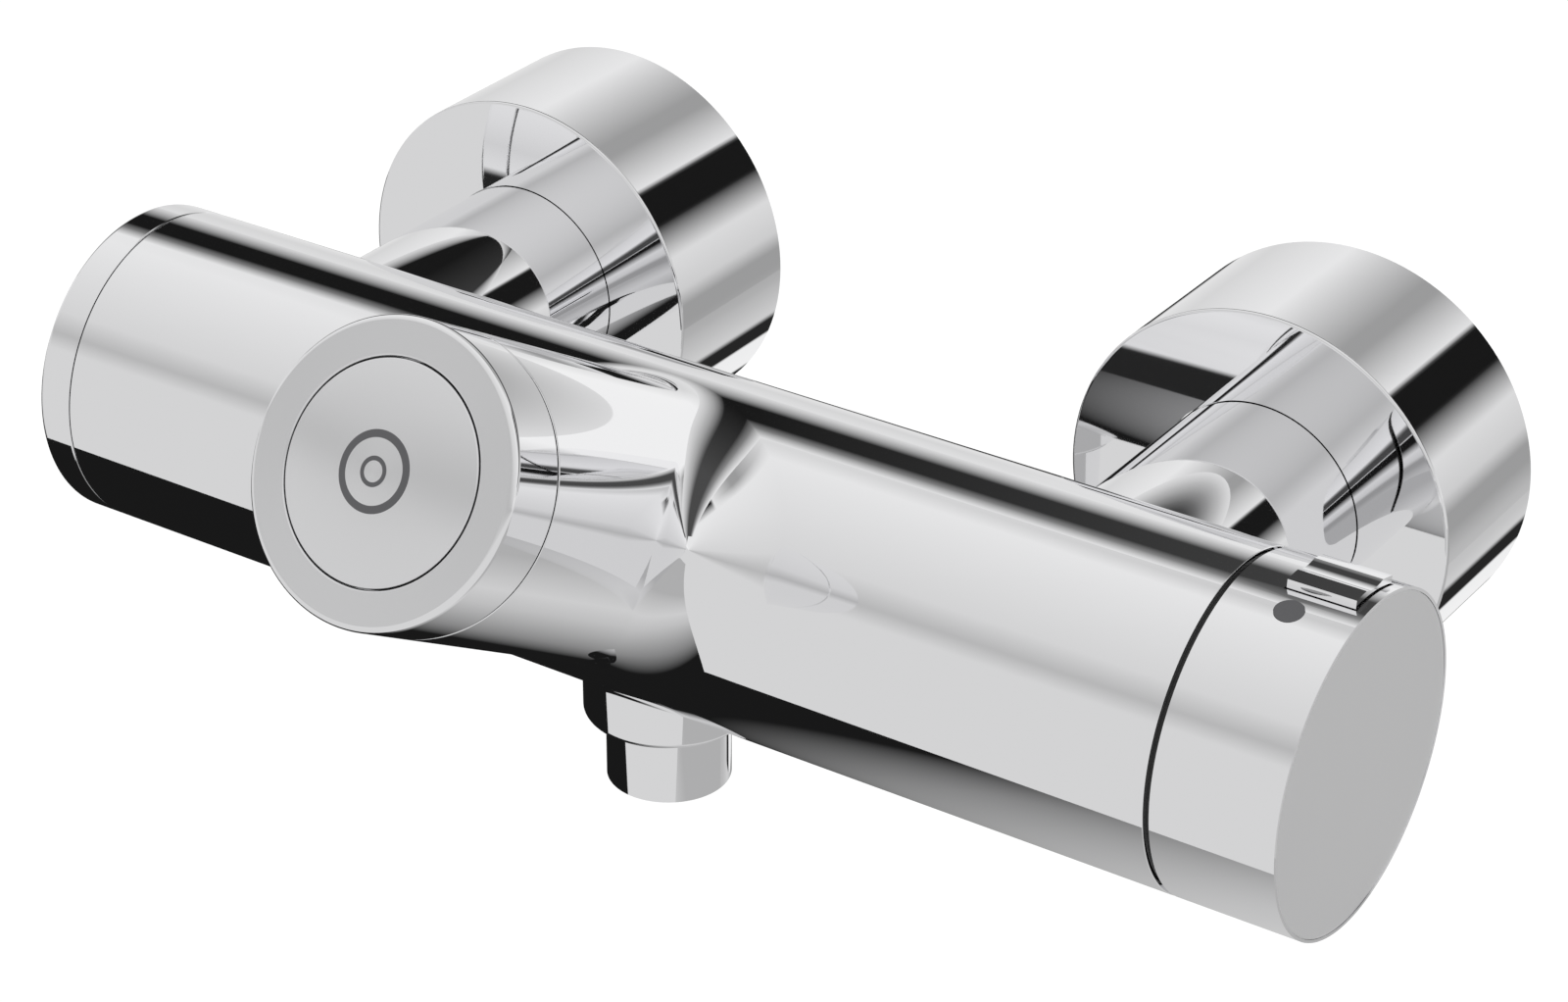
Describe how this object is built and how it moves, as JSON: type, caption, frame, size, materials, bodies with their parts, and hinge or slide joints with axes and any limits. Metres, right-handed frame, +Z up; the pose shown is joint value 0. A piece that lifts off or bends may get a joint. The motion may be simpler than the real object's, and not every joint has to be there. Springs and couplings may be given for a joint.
{
  "type": "thermostatic shower valve",
  "caption": "Exposed chrome shower valve: tube body on two wall rosettes, tilted boss with a self-closing push button, temperature handle with stop button, hose outlet below.",
  "frame": {"origin": "midpoint between the two wall threads' axes, on the wall plane", "axes": "+X to the user's right along the tube, +Y into the wall, +Z up"},
  "size_m": [0.2378, 0.1889, 0.1075],
  "materials": {
    "polished_chrome": "polished chrome plate",
    "satin_chrome": "spun and brushed chrome plate",
    "end_disc_satin": "fine satin chrome",
    "raw_brass": "machined brass",
    "seal_rubber": "black sealing rubber",
    "white_plastic": "moulded acetal",
    "black_plastic": "moulded black plastic",
    "spring_steel": "drawn spring wire",
    "dark_mark": "dark grey paint",
    "wax_copper": "turned copper alloy"
  },
  "bodies": {
    "valve": {"valve_body": "polished_chrome", "end_cap": "polished_chrome", "rosette_left": "polished_chrome", "rosette_right": "polished_chrome", "outlet_nipple": "polished_chrome", "button_bezel": "satin_chrome", "wall_union_left": "raw_brass", "wall_union_right": "raw_brass", "union_nut_left": "raw_brass", "union_nut_right": "raw_brass", "inlet_nipple_left": "raw_brass", "inlet_nipple_right": "raw_brass", "timing_housing": "raw_brass", "timing_nut": "raw_brass", "cartridge_nut": "raw_brass", "end_cap_o_ring": "seal_rubber", "filter_washer_left": "seal_rubber", "filter_washer_right": "seal_rubber", "outlet_o_ring": "seal_rubber", "timing_o_rings": "seal_rubber", "thermostat_o_rings": "seal_rubber", "check_valve_cage_left": "white_plastic", "check_valve_cage_right": "white_plastic", "flow_regulator": "white_plastic", "thermostat_housing": "white_plastic", "stop_ring": "black_plastic", "seam_ring": "black_plastic", "check_valve_spring_left": "spring_steel", "check_valve_spring_right": "spring_steel", "timing_spring": "spring_steel", "regulating_spring": "spring_steel"},
    "press": {"push_button": "satin_chrome", "button_mark": "dark_mark", "timing_plunger": "raw_brass", "plunger_seal": "seal_rubber", "seat_washer": "seal_rubber"},
    "handle": {"temperature_handle": "polished_chrome", "handle_disc": "end_disc_satin", "handle_adaptor": "white_plastic", "handle_screw": "spring_steel", "adjusting_spindle": "raw_brass", "spindle_o_ring": "seal_rubber", "index_dot": "dark_mark", "stop_button_spring": "spring_steel"},
    "regulator": {"adjusting_nut": "raw_brass", "wax_element": "wax_copper", "regulating_sleeve": "white_plastic"},
    "stop": {"stop_button": "polished_chrome"},
    "check_left": {"check_valve_poppet_left": "white_plastic"},
    "check_right": {"check_valve_poppet_right": "white_plastic"}
  },
  "joints": [
    {"name": "button_press", "type": "slide", "parent": "valve", "child": "press", "axis": [0, 0.8599, -0.5105], "range_m": [0, 0.005], "stiffness_N_per_m": 2000, "springref_m": -0.005, "deforming": ["timing_spring"]},
    {"name": "temperature_turn", "type": "hinge", "parent": "valve", "child": "handle", "pos_m": [0.1053, -0.0925, -0.0125], "axis": [1, 0, 0], "range_deg": [-60, 150]},
    {"name": "regulator_slide", "type": "slide", "parent": "valve", "child": "regulator", "axis": [1, 0, 0], "range_m": [-0.0013, 0.0006], "deforming": ["regulating_spring"]},
    {"name": "stop_press", "type": "slide", "parent": "handle", "child": "stop", "axis": [0, -0.1045, -0.9945], "range_m": [0, 0.002], "stiffness_N_per_m": 1500, "springref_m": -0.002, "deforming": ["stop_button_spring"]},
    {"name": "check_left_slide", "type": "slide", "parent": "valve", "child": "check_left", "axis": [0, -1, 0], "range_m": [0, 0.003], "stiffness_N_per_m": 200, "springref_m": -0.002, "deforming": ["check_valve_spring_left"]},
    {"name": "check_right_slide", "type": "slide", "parent": "valve", "child": "check_right", "axis": [0, -1, 0], "range_m": [0, 0.003], "stiffness_N_per_m": 200, "springref_m": -0.002, "deforming": ["check_valve_spring_right"]}
  ],
  "couplings": [
    {"joint": "regulator_slide", "follows": "temperature_turn", "m_per_rad": -0.00047746}
  ]
}
